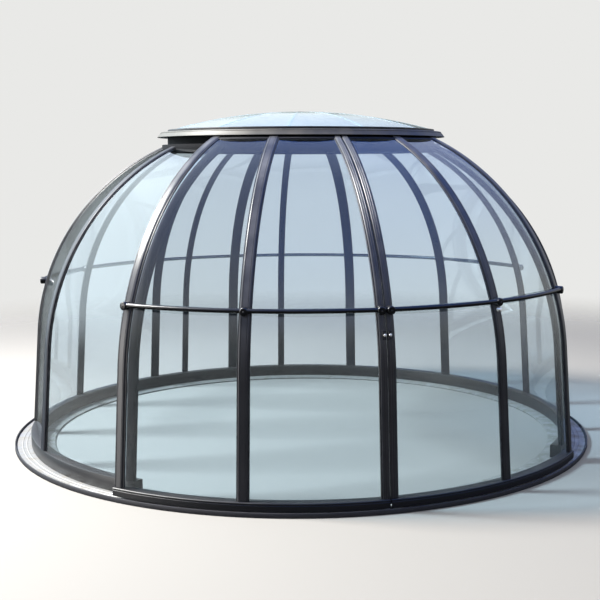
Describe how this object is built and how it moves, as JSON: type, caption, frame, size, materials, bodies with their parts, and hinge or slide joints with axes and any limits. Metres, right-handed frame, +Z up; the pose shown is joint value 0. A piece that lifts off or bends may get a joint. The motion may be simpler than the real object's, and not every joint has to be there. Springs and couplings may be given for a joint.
{
  "type": "garden dome",
  "caption": "Round glazed garden dome with a dark ribbed frame, bent clear panes, a shallow glass cap and two doors that turn round its upright axis.",
  "frame": {"origin": "centre of the dome's plan, on the ground", "axes": "+Z up, the doors toward -Y, +X to the right seen from the doors"},
  "size_m": [4.1496, 4.1496, 2.3319],
  "materials": {
    "dark_frame": "anthracite powder-coated aluminium, satin",
    "clear_panes": "clear bent sheet, slightly blue, glossy",
    "cap_glass": "clear sheet under open sky, glossy",
    "track_aluminium": "mill-finish floor track, worn and dusty",
    "roller_plastic": "black nylon wheels",
    "lock_steel": "satin stainless steel"
  },
  "bodies": {
    "fixed_shell": {"back_bar": "dark_frame", "back_left_panes": "clear_panes", "back_left_sill": "dark_frame", "back_right_panes": "clear_panes", "back_right_sill": "dark_frame", "back_track": "track_aluminium", "cap_glazing": "cap_glass", "cap_trim": "dark_frame", "fascia_ring": "dark_frame", "fixed_rib_01": "dark_frame", "fixed_rib_02": "dark_frame", "fixed_rib_03": "dark_frame", "fixed_rib_04": "dark_frame", "fixed_rib_05": "dark_frame", "fixed_rib_06": "dark_frame", "fixed_rib_07": "dark_frame", "fixed_rib_08": "dark_frame", "fixed_rib_09": "dark_frame", "fixed_rib_10": "dark_frame", "fixed_rib_11": "dark_frame", "front_track": "track_aluminium", "hub_ring": "dark_frame", "left_panes": "clear_panes", "left_sill": "dark_frame", "left_track": "track_aluminium", "right_panes": "clear_panes", "right_sill": "dark_frame", "right_track": "track_aluminium", "slim_glazing_bars": "dark_frame"},
    "left_door": {"left_door_bar": "dark_frame", "left_door_lock": "lock_steel", "left_door_meeting_rib": "dark_frame", "left_door_middle_rib": "dark_frame", "left_door_panes": "clear_panes", "left_door_rollers": "roller_plastic", "left_door_sill": "dark_frame", "left_door_top_rail": "dark_frame", "left_door_trailing_rib": "dark_frame"},
    "right_door": {"right_door_bar": "dark_frame", "right_door_lock": "lock_steel", "right_door_meeting_rib": "dark_frame", "right_door_middle_rib": "dark_frame", "right_door_panes": "clear_panes", "right_door_rollers": "roller_plastic", "right_door_sill": "dark_frame", "right_door_top_rail": "dark_frame", "right_door_trailing_rib": "dark_frame"}
  },
  "joints": [
    {"name": "left_door_turn", "type": "hinge", "parent": "fixed_shell", "child": "left_door", "pos_m": [0, 0, 0], "axis": [0, 0, 1], "range_deg": [-46, 0]},
    {"name": "right_door_turn", "type": "hinge", "parent": "fixed_shell", "child": "right_door", "pos_m": [0, 0, 0], "axis": [0, 0, 1], "range_deg": [0, 46]}
  ]
}
